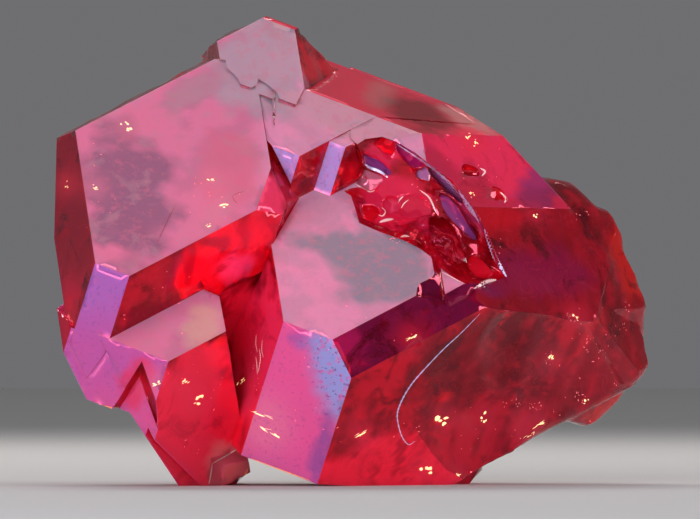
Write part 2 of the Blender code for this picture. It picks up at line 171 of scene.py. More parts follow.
# flat flakes split off inside the shell-like break: outline seen from the front, how the
# floor leans to the side and up from the skin around it, its depth, its shade, which is painted
# light: the tint and brightness that the flake shows under the lamps
CHIPS = [
    ([(0.32, 12.14), (0.95, 11.92), (1.43, 11.41), (1.14, 11.34), (0.62, 11.64), (0.29, 11.80)],
     (0.0, 0.25), 0.06, (0.2, 0.03, 0.26)),
    ([(0.05, 11.09), (0.35, 11.60), (1.13, 11.29), (0.77, 10.93), (0.49, 10.79)],
     (-0.25, -0.05), 0.05, (0.62, 0.17, 0.28)),
    ([(0.98, 12.78), (1.47, 12.59), (1.43, 12.16), (1.09, 12.25), (0.70, 12.52)],
     (0.25, -0.1), 0.05, (1.0, 0.01, 0.04)),
    ([(1.47, 12.58), (1.71, 12.53), (2.55, 11.73), (2.08, 11.59), (1.89, 11.88), (1.52, 12.35)],
     (0.2, 0.3), 0.06, (0.4, 0.01, 0.14)),
    ([(2.13, 11.43), (2.61, 11.71), (2.75, 11.49), (2.71, 11.17), (2.37, 11.27)],
     (-0.1, 0.35), 0.08, (0.52, 0.26, 0.58)),
    ([(3.09, 10.73), (3.41, 10.61), (3.80, 10.17), (4.17, 9.53), (4.52, 8.97), (4.32, 9.05),
     (3.89, 9.41), (3.41, 9.89), (3.21, 10.25)],
     (0.3, 0.0), 0.05, (0.26, 0.06, 0.3)),
    ([(2.67, 11.71), (3.01, 11.45), (3.41, 11.14), (3.72, 10.82), (3.99, 10.41), (3.80, 10.42),
     (3.41, 10.82), (3.01, 11.22), (2.69, 11.50)],
     (-0.2, -0.2), 0.04, (0.42, 0.16, 0.52)),
    ([(1.81, 10.61), (2.37, 10.57), (2.69, 10.45), (2.85, 9.93), (2.21, 9.81), (1.73, 9.89),
     (1.57, 10.25)],
     (0.0, -0.25), 0.06, (1.0, 0.02, 0.09)),
    ([(2.69, 9.85), (3.25, 9.77), (3.64, 9.45), (4.12, 8.17), (3.41, 8.37), (2.85, 8.81)],
     (0.1, 0.2), 0.06, (0.36, 0.001, 0.008)),
    ([(4.17, 8.49), (4.60, 8.37), (5.16, 7.67), (4.52, 7.59), (4.12, 8.02)],
     (-0.2, -0.1), 0.05, (0.95, 0.01, 0.04)),
    ([(0.24, 10.25), (0.77, 10.25), (0.93, 9.97), (0.69, 9.69), (0.31, 9.76)],
     (0.2, 0.1), 0.05, (0.85, 0.005, 0.02)),
    ([(1.14, 10.52), (1.53, 10.57), (1.69, 10.26), (1.51, 9.95), (1.07, 10.00)],
     (-0.2, 0.2), 0.05, (1.0, 0.03, 0.12)),
]
CUTTER_RISE = 1.6      # mm that a flake's cutter stands over its floor
# bowls struck out of the faces: place seen from the front, half width, half height, depth
BOWLS = [(4.18, 11.49, 0.56, 0.29, 0.26), (5.24, 10.66, 0.42, 0.36, 0.26)]


def lattice(h, k, l):
    """Unit normal of a lattice plane: h, k and l times the three cube axes, summed."""
    v = np.array((h, k, l), float) @ AXES
    return v / np.linalg.norm(v)


def slab(outline, normal, low, high):
    """A closed plate: the outline, seen from the front, laid along the view onto the two
    planes whose distances from the centre are low and high."""
    flat = np.array([(x, 0.0, z) for x, z in outline]) - CENTRE
    rings = []
    for dist in (low, high):
        along = (dist - flat @ normal) / normal[1]
        rings.append(flat + along[:, None] * np.array((0.0, 1.0, 0.0)) + CENTRE)
    n = len(outline)
    faces = [tuple(range(n)), tuple(range(2 * n - 1, n - 1, -1))]
    faces += [(i, n + i, n + (i + 1) % n, (i + 1) % n) for i in range(n)]
    me = bpy.data.meshes.new("plate")
    me.from_pydata((np.concatenate(rings) * MM).tolist(), [], faces)
    fresh = bmesh.new()
    fresh.from_mesh(me)
    bmesh.ops.triangulate(fresh, faces=fresh.faces[:])
    bmesh.ops.recalc_face_normals(fresh, faces=fresh.faces[:])
    fresh.to_mesh(me)
    fresh.free()
    return me


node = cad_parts["cuprite_crystal"]
mesh = bpy.data.meshes.new("crystal")
bm = bmesh.new()
bm.from_mesh(node.data)
bmesh.ops.remove_doubles(bm, verts=bm.verts[:], dist=1e-7)
bmesh.ops.dissolve_limit(bm, angle_limit=math.radians(LEVEL_ANGLE), verts=bm.verts[:],
                         edges=bm.edges[:])
bmesh.ops.recalc_face_normals(bm, faces=bm.faces[:])
bm.to_mesh(mesh)
bm.free()
crystal = bpy.data.objects.new("crystal", mesh)
bpy.context.scene.collection.objects.link(crystal)


def shape(body, cutter_mesh, operation="DIFFERENCE"):
    """Takes the cutter out of the body's mesh, or joins it on."""
    cutter = bpy.data.objects.new("cutter", cutter_mesh)
    bpy.context.scene.collection.objects.link(cutter)
    step = body.modifiers.new("step", "BOOLEAN")
    step.operation, step.solver, step.object = operation, "EXACT", cutter
    bpy.context.view_layer.update()
    body_now = body.evaluated_get(bpy.context.evaluated_depsgraph_get())
    body_new = bpy.data.meshes.new_from_object(body_now)
    body.modifiers.clear()
    body.data = body_new
    bpy.data.objects.remove(cutter)


def on_front(x, z):
    """Where the line of sight through x, z meets the crystal, and the normal there, in mm."""
    hit, at, out, _ = crystal.ray_cast(Vector((x * MM, BEFORE, z * MM)), Vector((0, 1, 0)))
    return (np.array(at) / MM, np.array(out)) if hit else None


def bowl(x, z, wide, tall, deep):
    """A closed uneven ball of 20 by 10 points, its middle on the crystal's skin and its
    shortest half axis, deep, along the skin's normal."""
    at, out = on_front(x, z)
    side = np.cross((0, 0, 1), out)
    side /= np.linalg.norm(side)
    up = np.cross(out, side)
    turn, down = np.meshgrid(np.arange(20) * math.pi / 10, np.linspace(0.12, math.pi - 0.12, 10))
    reach = 1 + 0.10 * np.sin(2 * turn + x) + 0.06 * np.sin(5 * turn + z)
    u = wide * reach * np.sin(down) * np.cos(turn)
    v = tall * reach * np.sin(down) * np.sin(turn)
    w = deep * np.cos(down)
    points = at + u[..., None] * side + v[..., None] * up + w[..., None] * out
    me = bpy.data.meshes.new("bowl")
    fresh = bmesh.new()
    for corner in points.reshape(-1, 3) * MM:
        fresh.verts.new(corner)
    bmesh.ops.convex_hull(fresh, input=fresh.verts[:])
    bmesh.ops.recalc_face_normals(fresh, faces=fresh.faces[:])
    fresh.to_mesh(me)
    fresh.free()
    return me


def chip(outline, lean, deep):
    """Splits a flat flake off the skin inside the outline.  The floor is the plane that fits
    the outline's corners on the skin best, leaned, and lowered until it is deep under all of
    them.  Gives the floor's normal and its distance from the centre."""
    rim = np.array([on_front(x, z)[0] for x, z in outline])
    normal = np.linalg.svd(rim - rim.mean(0))[2][2]
    normal = normal * -np.sign(normal[1]) + (lean[0], 0, lean[1])
    normal /= np.linalg.norm(normal)
    low = ((rim - CENTRE) @ normal).min() - deep
    shape(crystal, slab(outline, normal, low, low + CUTTER_RISE))
    return normal, low


normals = {kind: lattice(*plane) for kind, plane in KINDS.items()}
east_steps = [(x, z) for x, z in STEP_EDGE if x > STEP_SPLIT] + STEP_CLOSE
shape(crystal, slab(STEP_EDGE, normals["terrace"], STEP_LOW, STEP_TOP))
shape(crystal, slab(east_steps, normals["terrace"], STEP_EAST_LOW, STEP_TOP))
shape(crystal, slab(CORNER, normals["band"], CORNER_LOW, CORNER_TOP), "UNION")
shape(crystal, slab(BITE, normals["band"], BITE_LOW, BITE_TOP))
shape(crystal, slab(LEDGE, normals["end"], LEDGE_LOW, LEDGE_TOP), "UNION")
shape(crystal, slab(BACK, normals["flank"], BACK_LOW, BACK_TOP))
chip_floors = [chip(outline, lean, deep) for outline, lean, deep, _ in CHIPS]
for struck in BOWLS:
    shape(crystal, bowl(*struck))

# sharp edges are rubbed a little, long edges are divided so that the broken places can be
# rounded and the faces can carry their shades
EDGE_RUB, LONGEST, HALVINGS = 2.2e-5, 0.42e-3, 7        # metres, and how often edges are halved
# a face of a kind is at least this large, in square metres, and a lesser one counts as broken,
# as do the far side and the roots, which lie behind FAR or below ROOTS; EAST, FAR and ROOTS
# are in mm
SMALLEST, SMALLEST_EAST, EAST = 0.30e-6, 6.0e-6, 4.8
FAR, ROOTS = 2.5, 1.6
NEAR_WAY, SAME_WAY, LEVEL = 0.9985, 0.9998, 0.9999      # cosines of the angle between normals
FLAT = 0.004                                            # mm off a chip's floor
bm = bmesh.new()
bm.from_mesh(crystal.data)
bmesh.ops.remove_doubles(bm, verts=bm.verts[:], dist=2e-6)
bmesh.ops.dissolve_limit(bm, angle_limit=math.radians(LEVEL_ANGLE), verts=bm.verts[:],
                         edges=bm.edges[:])
sharp = [e for e in bm.edges if e.is_manifold and e.calc_face_angle(0) > math.radians(RUBBED_ANGLE)]
bmesh.ops.bevel(bm, geom=sharp, offset=EDGE_RUB, segments=1, profile=0.5, affect="EDGES",
                clamp_overlap=True)
bmesh.ops.recalc_face_normals(bm, faces=bm.faces[:])
kind_of = bm.faces.layers.int.new("kind")
slivers = []
for face in bm.faces:
    face[kind_of] = 0
    middle = face.calc_center_median() / MM
    least = SMALLEST_EAST if middle.x > EAST else SMALLEST
    if (middle.y > FAR and face.normal.y > -0.2) or (middle.z < ROOTS and middle.y > 0):
        continue
    flat = np.array(face.verts[0].co) / MM - CENTRE
    for number, (normal, low) in enumerate(chip_floors, len(KINDS) + 1):
        if Vector(normal).dot(face.normal) > SAME_WAY and abs(flat @ normal - low) < FLAT:
            face[kind_of] = number
    for number, normal in enumerate(normals.values(), 1):
        if not face[kind_of] and Vector(normal).dot(face.normal) > NEAR_WAY:
            if face.calc_area() < least:
                slivers.append((face, number))
            else:
                face[kind_of] = number
for face, number in slivers:      # a sliver level with a large face belongs to it
    if any(other[kind_of] == number and face.normal.dot(other.normal) > LEVEL
           for edge in face.edges for other in edge.link_faces if other is not face):
        face[kind_of] = number
bmesh.ops.triangulate(bm, faces=bm.faces[:])
for _ in range(HALVINGS):
    long_edges = [e for e in bm.edges if e.calc_length() > LONGEST]
    if not long_edges:
        break
    bmesh.ops.subdivide_edges(bm, edges=long_edges, cuts=1)
    bmesh.ops.triangulate(bm, faces=bm.faces[:])
bm.to_mesh(crystal.data)
bm.free()
mesh = crystal.data
mesh.name = "crystal"

corner_vert = np.zeros(len(mesh.loops), int)
mesh.loops.foreach_get("vertex_index", corner_vert)
face_kind = np.zeros(len(mesh.polygons), np.int32)
mesh.attributes["kind"].data.foreach_get("value", face_kind)
corner_kind = np.repeat(face_kind, 3)         # every face is a triangle
edge_ends = np.zeros(len(mesh.edges) * 2, int)
mesh.edges.foreach_get("vertices", edge_ends)
edge_ends = edge_ends.reshape(-1, 2)
spots = np.zeros(len(mesh.vertices) * 3)
mesh.vertices.foreach_get("co", spots)
spots = spots.reshape(-1, 3) / MM


def clouds(p, size, seed, octaves=3):
    """Soft uneven values from about -1 to 1 at the places p: the sum of five plane waves of
    wavelength size in random directions, and of five finer and fainter ones per octave."""
    draw = np.random.default_rng(seed)
    total = np.zeros(len(p))
    for octave in range(octaves):
        for _ in range(5):
            way = draw.normal(size=3)
            way *= 2 * math.pi * 1.9 ** octave / (size * np.linalg.norm(way))
            total += np.sin(p @ way + draw.uniform(0, 6.28)) * 0.33 * 0.6 ** octave
    return total


def ramp(value, low, high):
    """0 below low, 1 above high and a smooth rise between them."""
    t = np.clip((value - low) / (high - low), 0, 1)
    return t * t * (3 - 2 * t)


def around(values):
    """The mean of the values at each place's neighbours along the edges."""
    near = np.zeros_like(values)
    many = np.zeros(len(values))
    for a, b in ((0, 1), (1, 0)):
        np.add.at(near, edge_ends[:, a], values[edge_ends[:, b]])
        np.add.at(many, edge_ends[:, a], 1.0)
    return (near.T / many).T


def relax(p, pull, rounds):
    """Each place is drawn towards the mean of its neighbours by its own pull, rounds times."""
    for _ in range(rounds):
        p = p + pull[:, None] * (around(p) - p)
    return p


# broken places are rounded, most of all in the shell-like break, which is as smooth as
# poured glass, and in the east and behind, and then dented a little all over
RESTING = 0.12                                  # mm over the floor that stay flat
SHELL_EDGE, ROUND_EAST, ROUND_BACK = 0.3, 6.5, 1.5      # mm
SHELL_DENT, WIDE_DENT, FINE_DENT = 0.045, 0.030, 0.012  # mm
broken = np.ones(len(spots), bool)
broken[corner_vert[corner_kind > 0]] = False
broken &= spots[:, 2] > RESTING
loose = broken.astype(float)
for _ in range(2):
    loose = np.minimum(loose, around(loose))
in_shell = np.hypot((spots[:, 0] - 3.2) / 3.1, (spots[:, 2] - 10.1) / 3.2) < 1
in_shell &= spots[:, 1] < SHELL_EDGE
spots = relax(spots, 0.5 * loose, 2)
spots = relax(spots, 0.6 * loose * in_shell, 12)
spots = relax(spots, 0.5 * loose * ((spots[:, 0] > ROUND_EAST) | (spots[:, 1] > ROUND_BACK)), 8)
vert_normal = np.zeros(len(spots) * 3)
mesh.vertices.foreach_get("normal", vert_normal)
vert_normal = vert_normal.reshape(-1, 3)
shell_dent = SHELL_DENT * (1 + clouds(spots, 1.1, 8, 2))
dent = WIDE_DENT * (1 + clouds(spots, 2.2, 1, 2)) + FINE_DENT * (1 + clouds(spots, 0.7, 2, 2))
spots -= (loose * np.where(in_shell, shell_dent, dent))[:, None] * vert_normal
mesh.vertices.foreach_set("co", (spots * MM).ravel())
mesh.polygons.foreach_set("use_smooth", face_kind == 0)
mesh.update()
mesh.set_sharp_from_angle(angle=math.radians(SOFT_ANGLE))

# the shade of each face corner, worked out from its place and the kind of its face; much of
# it is painted light and shade
p = spots[corner_vert]
x_at, y_at, z_at = p.T
kinds = ["broken", *KINDS, *("chip_%d" % n for n in range(len(CHIPS)))]


def patch(x, z, wide, tall, turn=0.0, soft=0.5):
    """1 inside an uneven oval seen from the front, turned by turn degrees, 0 outside it: a
    smooth step, soft wide, on its distance from the middle in half widths and half heights,
    with clouds added."""
    c, s = math.cos(math.radians(turn)), math.sin(math.radians(turn))
    u = ((x_at - x) * c + (z_at - z) * s) / wide
    v = (-(x_at - x) * s + (z_at - z) * c) / tall
    return ramp(-np.hypot(u, v) + 0.22 * clouds(p, 1.6, 3), -1 - soft / 2, -1 + soft / 2)


def layer(under, share, over):
    """One colour over another, by share."""
    return under + np.asarray(share)[..., None] * (np.asarray(over) - under)


def plain(colour):
    """The same colour at every face corner."""
    return np.tile(colour, (len(p), 1))


def coats(under, *rows):
    """Colours laid over one another in turn; a row is the share and the colour."""
    for share, over in rows:
        under = layer(under, share, over)
    return under


def of_kind(*names):
    """True at the corners of these kinds of face."""
    return np.isin(corner_kind, [kinds.index(name) for name in names])


# the larger glints, given here because a painted glow makes the body redder in a halo around
# each: place seen from the front, half width, half height, turn in degrees
GLINTS = [(-8.40, 13.17, 0.16, 0.24, 30), (-9.50, 10.92, 0.10, 0.13, 0), (-5.30, 11.22, 0.14, 0.10, 15),
          (-4.79, 10.26, 0.22, 0.10, 20), (-5.34, 9.52, 0.12, 0.08, 30), (-10.57, 11.03, 0.08, 0.16, 10),
          (-7.24, 3.79, 0.14, 0.09, 20), (-5.76, 3.17, 0.24, 0.20, 0), (-6.21, 3.83, 0.16, 0.12, 30),
          (-4.16, 3.80, 0.20, 0.09, 40), (-3.38, 2.60, 0.42, 0.05, -18), (-3.09, 1.98, 0.40, 0.06, -28),
          (0.18, 1.90, 0.34, 0.08, 35), (3.27, 2.39, 0.30, 0.20, 15), (4.78, 2.51, 0.16, 0.26, -20),
          (6.72, 2.14, 0.44, 0.05, 28), (6.47, 1.82, 0.24, 0.05, 28), (2.61, 0.62, 0.24, 0.24, 0),
          (3.80, 0.40, 0.12, 0.10, 0), (4.17, 12.83, 0.10, 0.13, 0), (4.45, 12.58, 0.12, 0.17, 20),
          (4.29, 10.69, 0.10, 0.15, 20), (6.64, 9.91, 0.12, 0.10, 0), (8.11, 6.15, 0.15, 0.10, -15),
          (7.25, 4.61, 0.10, 0.24, 10), (8.53, 3.05, 0.12, 0.12, 0), (2.02, 5.43, 0.30, 0.07, 30)]
halo = np.zeros(len(p))
for x, z, wide, tall, _ in GLINTS:
    halo += np.exp(-((x_at - x) ** 2 + (z_at - z) ** 2) / (0.30 + 1.2 * max(wide, tall)) ** 2)
halo = np.clip(halo, 0, 1) * (y_at < 2)
wide_clouds, fine_clouds = clouds(p, 3.2, 4), clouds(p, 0.9, 5)
near_side, front = y_at < 4.0, y_at < 0.6

# places that more than one kind of face, or more than one value, needs
notch = front * patch(-4.2, 6.2, 0.75, 1.4)
toe, toe_end = patch(-4.5, 0.6, 0.9, 0.9), patch(-4.6, 0.5, 1.2, 1.1)
nose = patch(-3.2, 10.5, 0.8, 1.1)
crown_steps, summit_back = patch(-3.4, 14.6, 2.3, 1.0), patch(-1.7, 15.6, 1.7, 0.7)
band_end = front * patch(4.95, 7.15, 0.5, 0.26, -12)
lens = np.clip(patch(4.2, 10.2, 1.6, 0.26, -55, 0.7) + patch(1.9, 12.3, 0.9, 0.20, -35, 0.7), 0, 1) * front
rosy = front * np.clip(patch(1.6, 10.3, 1.6, 0.9, -25) + patch(1.1, 12.2, 0.6, 0.5), 0, 1)
pits = np.clip(patch(4.18, 11.49, 0.9, 0.6) + patch(5.24, 10.66, 0.8, 0.7), 0, 1) * front
south_east = (y_at < 1.5) * ramp(x_at, -0.5, 0.5) * ramp(-z_at, -6.8, -6.0)
east = ramp(x_at, 2.0, 5.0) * near_side

# terraces: a painted sheen of reflected light, pink where the body shows through it, grey
# where it is strongest, and paler on the summit, the crown and the lower terrace
grey_sheen = np.clip(patch(-8.4, 10.7, 1.6, 2.4, 10) + 0.8 * patch(-5.8, 14.6, 1.3, 0.5, 28)
                + patch(-3.4, 15.5, 1.8, 1.9) + 0.9 * patch(-0.2, 13.6, 1.9, 0.7, -22)
                + patch(0.8, 8.2, 2.1, 1.5, -12) + 0.6 * patch(-2.0, 9.0, 0.7, 0.4)
                + 0.30 * ramp(wide_clouds + 0.4 * fine_clouds, -0.2, 0.8), 0, 1)
heart = ramp(x_at, -4.0, -2.6)
painted_sheen = coats(layer(plain((0.88, 0.28, 0.50)), heart, (1.0, 0.42, 0.68)),
              (grey_sheen, layer(plain((0.27, 0.16, 0.30)), heart, (0.22, 0.35, 0.45))),
              (patch(-3.4, 15.5, 1.9, 2.0), (0.50, 0.46, 0.58)),
              (0.7 * patch(-5.8, 14.6, 1.3, 0.5, 28), (0.62, 0.38, 0.50)),
              (0.8 * patch(-0.3, 13.6, 2.2, 0.9, -22), (0.78, 0.44, 0.56)),
              (0.9 * patch(-5.5, 5.85, 0.75, 0.8), (0.80, 0.50, 0.44)),
              (0.7 * patch(-4.6, 11.6, 1.1, 1.4, 20), (0.85, 0.20, 0.36)))

# cube faces: etched, with a painted sheen of reflected light that is lavender, rosy low down,
# and bluish in a cool etched patch by the edge of the heart's face
cool = patch(-0.7, 4.2, 0.95, 1.7, 12, 0.9)
lavender = coats(plain((0.62, 0.13, 0.48)),
                 (ramp(-z_at, -4.6, -2.0), (0.90, 0.13, 0.38)),
                 (ramp(-x_at, 6.0, 6.6) * ramp(z_at, 5.0, 7.4), (0.47, 0.18, 0.64)),
                 ((x_at > -3.6) * (1 - cool), (0.96, 0.13, 0.42)),
                 (0.8 * patch(-1.7, 5.25, 0.8, 0.28, -20), (0.42, 0.13, 0.52)),
                 (cool, (0.32, 0.46, 0.92)),
                 (0.85 * patch(-1.15, 1.3, 0.42, 1.3, -8), (0.30, 0.10, 0.42)),
                 (0.85 * patch(-7.9, 3.9, 0.55, 0.9, -20), (0.98, 0.04, 0.15)),
                 (z_at > 10.5, (0.55, 0.40, 0.90)))

# the clear faces: painted light and shade, dark and glowing reds in clouds, then what differs
# on each kind; the flanks have a painted glow along the foot, by the notch and over the toe
glow = ramp(wide_clouds + 0.5 * fine_clouds, -0.9, 0.9)
red = layer(plain((0.30, 0.001, 0.006)), glow, (0.95, 0.006, 0.03))
flank = coats(red,
              (patch(3.2, 1.0, 4.6, 1.5, 10), (1.0, 0.012, 0.05)),
              (0.8 * patch(5.0, 4.6, 2.6, 1.4, 20), (0.20, 0.001, 0.004)),
              (patch(-4.1, 8.8, 1.5, 0.9, 30, 1.2), (0.80, 0.008, 0.04)),
              (0.8 * patch(-4.4, 8.0, 0.6, 0.5, 30), (0.80, 0.06, 0.24)),
              (patch(-6.0, 2.0, 2.4, 3.4), (1.0, 0.02, 0.07)),
              (toe, (1.0, 0.14, 0.17)),
              (0.6 * (x_at > 0.5) * ramp(-fine_clouds, 0.2, 1.0), (0.22, 0.001, 0.004)))
# painted light and shade on the western faces: a plainer dark red along the west edge, brighter low on it,
# glowing on the wall by the notch
west = coats(red,
             (x_at < -8.5, (0.42, 0.002, 0.03)),
             ((x_at < -8.5) * ramp(-z_at + 0.6 * wide_clouds, -9.0, -6.5), (0.85, 0.004, 0.06)),
             (patch(-3.2, 5.0, 1.2, 2.6), (1.0, 0.03, 0.12)),
             (notch, (1.0, 0.02, 0.10)))
# painted light and shade on the eastern end face: dark red, glowing in clouds, in a patch up high and at
# the nose, darker violet lower down and at the band's end
end = coats(plain((0.36, 0.001, 0.012)),
            (0.7 * glow, (0.62, 0.003, 0.02)),
            (patch(4.9, 9.9, 1.3, 0.6, -10, 1.0), (0.85, 0.004, 0.02)),
            (0.8 * patch(7.1, 7.9, 1.7, 0.9, -10, 0.9), (0.36, 0.003, 0.09)),
            (nose, (0.95, 0.05, 0.16)),
            (0.7 * patch(5.6, 7.6, 1.8, 0.5, -10), (0.42, 0.01, 0.09)),
            (band_end, (0.36, 0.012, 0.12)))
# painted light and shade on the roof faces: bright red, dark in one patch, greyish where a painted sheen
# lies
roof = coats(plain((0.85, 0.025, 0.08)),
             (patch(2.4, 13.6, 1.35, 0.52, -22, 0.8), (0.30, 0.001, 0.006)),
             (0.7 * patch(4.3, 13.35, 1.1, 0.28, -28, 0.9), (0.66, 0.30, 0.28)),
             (0.5 * patch(0.9, 14.4, 0.55, 0.5, 40, 1.2), (0.55, 0.24, 0.22)))
# painted light and shade: the band dark magenta with a brighter patch, the slope bright red with a darker
# one
band_red = coats(plain((0.30, 0.010, 0.10)), (patch(-0.4, 5.1, 1.0, 0.9), (0.75, 0.02, 0.20)))
slope = coats(plain((0.95, 0.03, 0.12)), (patch(6.7, 10.7, 0.8, 0.8), (0.42, 0.03, 0.16)))

# broken places, with painted light and shade: darker to the east, rosy and violet in the
# shell-like break, glowing at the toe, the pits, the nose and the notch, as the flank low in the
# south-east, and with bright and dark veils and orange light through thin edges in the east
broken_red = coats(red,
                   (x_at > 7.0, (0.42, 0.003, 0.012)),
                   (rosy, (1.0, 0.02, 0.10)),
                   (front * patch(4.0, 8.6, 1.0, 0.9, -40), (0.40, 0.002, 0.012)),
                   (0.8 * lens, (0.42, 0.05, 0.26)),
                   (summit_back, (0.62, 0.005, 0.02)),
                   (toe_end, (1.0, 0.12, 0.20)),
                   (pits, (1.0, 0.01, 0.03)),
                   (front * crown_steps, (0.62, 0.22, 0.34)),
                   (front * nose, (0.95, 0.04, 0.14)),
                   (notch, (1.0, 0.02, 0.09)),
                   (south_east, flank),
                   (0.45 * east * ramp(fine_clouds, 0.0, 1.0), (1.0, 0.012, 0.05)),
                   (0.6 * east * ramp(-wide_clouds - 0.5 * fine_clouds, 0.1, 1.0), (0.12, 0.0005, 0.002)),
                   (patch(10.2, 8.4, 0.6, 1.5, 15) + patch(9.6, 2.6, 1.0, 0.6, 30), (1.0, 0.02, 0.01)),
                   (band_end, (0.36, 0.012, 0.12)))

shades = {"broken": broken_red, "terrace": painted_sheen, "cube": lavender, "flank": flank, "west": west,
          "band": band_red, "slope": slope, "roof": roof, "end": end}
shades |= {"chip_%d" % n: plain(shade) for n, (_, _, _, shade) in enumerate(CHIPS)}
tone = np.zeros((len(p), 3))
for number, kind in enumerate(kinds):
    mine = corner_kind == number
    tone[mine] = shades[kind][mine]
# painted glow: the body is redder in a halo around the glints
tone = layer(tone, 0.75 * halo * ~of_kind("terrace", "cube"), (1.0, 0.03, 0.09))
tone = layer(tone, 0.5 * halo * of_kind("terrace", "cube"), (1.0, 0.30, 0.48))

# painted light: less clear, and so brighter, where the body is made to glow as though light
# came back out of it
LEAST_CLEAR = 0.04
lit = np.clip(patch(3.2, 0.9, 5.0, 1.5, 12) + patch(-3.2, 10.5, 0.9, 1.2) + patch(-6.0, 2.0, 2.4, 3.4)
              + patch(-3.2, 5.0, 1.3, 2.8) + notch + 0.8 * patch(5.0, 12.0, 2.2, 1.2, -30)
              + 0.6 * patch(-4.1, 8.8, 1.6, 1.0, 30, 1.2), 0, 1)
clearness = np.array([CLEAR.get(k, CHIP_CLEAR) for k in kinds])[corner_kind]
lit_faces = np.maximum(clearness - 0.38 * lit - 0.5 * toe, LEAST_CLEAR)
lit_broken = (clearness * (1 - 0.5 * np.clip(lens + rosy + pits, 0, 1))
              - 0.4 * summit_back - 0.6 * toe_end - 0.5 * notch)
clearness = np.where(of_kind("broken", "terrace", "cube"), clearness, lit_faces)
clearness = np.where(of_kind("broken"), lit_broken, clearness)

mattness = np.array([POLISH.get(k, POLISH["broken"]) for k in kinds])[corner_kind]
dull = front * (patch(-3.4, 9.85, 0.8, 0.45) + crown_steps)
mattness = np.where(of_kind("broken"), np.clip(mattness + 0.4 * dull, 0, 0.5), mattness)
# how much painted sheen each terrace corner carries, most in its grey patches
sheen_share = of_kind("terrace") * (0.35 + 0.65 * grey_sheen)
etched = of_kind("cube") * (0.3 + 0.7 * cool)
# the dark clouds and painted bright veins lie on the clear faces, less where the painted glow is and
# around the glints
veiled = of_kind("broken", "flank", "west", "band", "slope", "end") * (0.95 - 0.5 * lit) * (1 - 0.8 * halo)


def carry(name, values):
    """Puts one value, or one colour, on each face corner of the mesh under this name."""
    if values.ndim == 1:
        mesh.attributes.new(name, "FLOAT", "CORNER").data.foreach_set("value", values.astype(np.float32))
        return
    values = np.c_[values, np.ones(len(values))].astype(np.float32)
    mesh.attributes.new(name, "FLOAT_COLOR", "CORNER").data.foreach_set("color", values.ravel())


carry("tone", np.clip(tone, 0, 1))
carry("clear", np.clip(clearness, 0, 1))
carry("matt", mattness)
carry("painted_sheen", sheen_share)
carry("etch", etched)
carry("body", veiled)
mesh.attributes.remove(mesh.attributes["kind"])

clear_red = bpy.data.materials.new("clear_red")
clear_red.use_nodes = True
nodes, links = clear_red.node_tree.nodes, clear_red.node_tree.links
skin = nodes["Principled BSDF"]
skin.inputs["IOR"].default_value = 2.4
skin.inputs["Specular Tint"].default_value = (1.0, 0.16, 0.24, 1)
skin.inputs["Subsurface Weight"].default_value = 0.6
skin.inputs["Subsurface Radius"].default_value = (1.0, 0.12, 0.16)
skin.inputs["Subsurface Scale"].default_value = 0.0016
in_body = nodes.new("ShaderNodeTexCoord").outputs["Object"]


def reading(name, output="Fac"):
    """The value that the mesh carries under this name."""
    n = nodes.new("ShaderNodeAttribute")
    n.attribute_name = name
    return n.outputs[output]


def noise(scale, detail=3.0, rough=0.55, warp=0.0):
    """Cloudy values from 0 to 1 all through the crystal, scale of them to a metre."""
    n = nodes.new("ShaderNodeTexNoise")
    n.inputs["Scale"].default_value = scale
    n.inputs["Detail"].default_value = detail
    n.inputs["Roughness"].default_value = rough
    n.inputs["Distortion"].default_value = warp
    links.new(in_body, n.inputs["Vector"])
    return n.outputs["Fac"]


def number_of(operation, *values):
    """One sum on the values: plain numbers or what other nodes give."""
    n = nodes.new("ShaderNodeMath")
    n.operation = operation
    for i, v in enumerate(values):
        if isinstance(v, (int, float)):
            n.inputs[i].default_value = v
        else:
            links.new(v, n.inputs[i])
    return n.outputs[0]


def between(value, low, high, start=0.0, end=1.0):
    """value from low to high, taken smoothly to start to end, and held beyond them."""
    n = nodes.new("ShaderNodeMapRange")
    n.interpolation_type = "SMOOTHSTEP"
    for i, v in enumerate((low, high, start, end)):
        n.inputs[i + 1].default_value = v
    links.new(value, n.inputs[0])
    return n.outputs[0]


def blend(share, first, second):
    """first and second mixed by share; each is a colour or what a node gives."""
    n = nodes.new("ShaderNodeMix")
    n.data_type = "RGBA"
    links.new(share, n.inputs[0])
    for socket, v in ((n.inputs[6], first), (n.inputs[7], second)):
        if isinstance(v, tuple):
            socket.default_value = (*v, 1)
        else:
            links.new(v, socket)
    return n.outputs[2]


sheen_is, etch_is = reading("painted_sheen"), reading("etch")
speckle = noise(2600, 4, 0.65)
colour = reading("tone", "Color")
# dark clouds and thin bright veins in the clear body; the veins are painted streaks of inner light
body_is = reading("body")
clouded = between(noise(620, 5, 0.62, 0.7), 0.50, 0.68, 0.0, 0.85)
vein = number_of("ABSOLUTE", number_of("SUBTRACT", noise(800, 3, 0.55, 1.2), 0.5))
veined = between(vein, 0.0, 0.02, 0.14, 0.0)
colour = blend(number_of("MULTIPLY", body_is, clouded), colour, (0.07, 0.0, 0.002))
colour = blend(number_of("MULTIPLY", body_is, veined), colour, (1.0, 0.05, 0.09))
# fine pink and grey flecks in the terraces' painted sheen
pink_flecks = between(speckle, 0.50, 0.68, 0.0, 0.40)
grey_flecks = between(noise(900, 5, 0.6, 0.8), 0.50, 0.62, 0.0, 0.45)
colour = blend(number_of("MULTIPLY", sheen_is, pink_flecks), colour, (0.74, 0.26, 0.40))
colour = blend(number_of("MULTIPLY", sheen_is, grey_flecks), colour, (0.50, 0.36, 0.44))
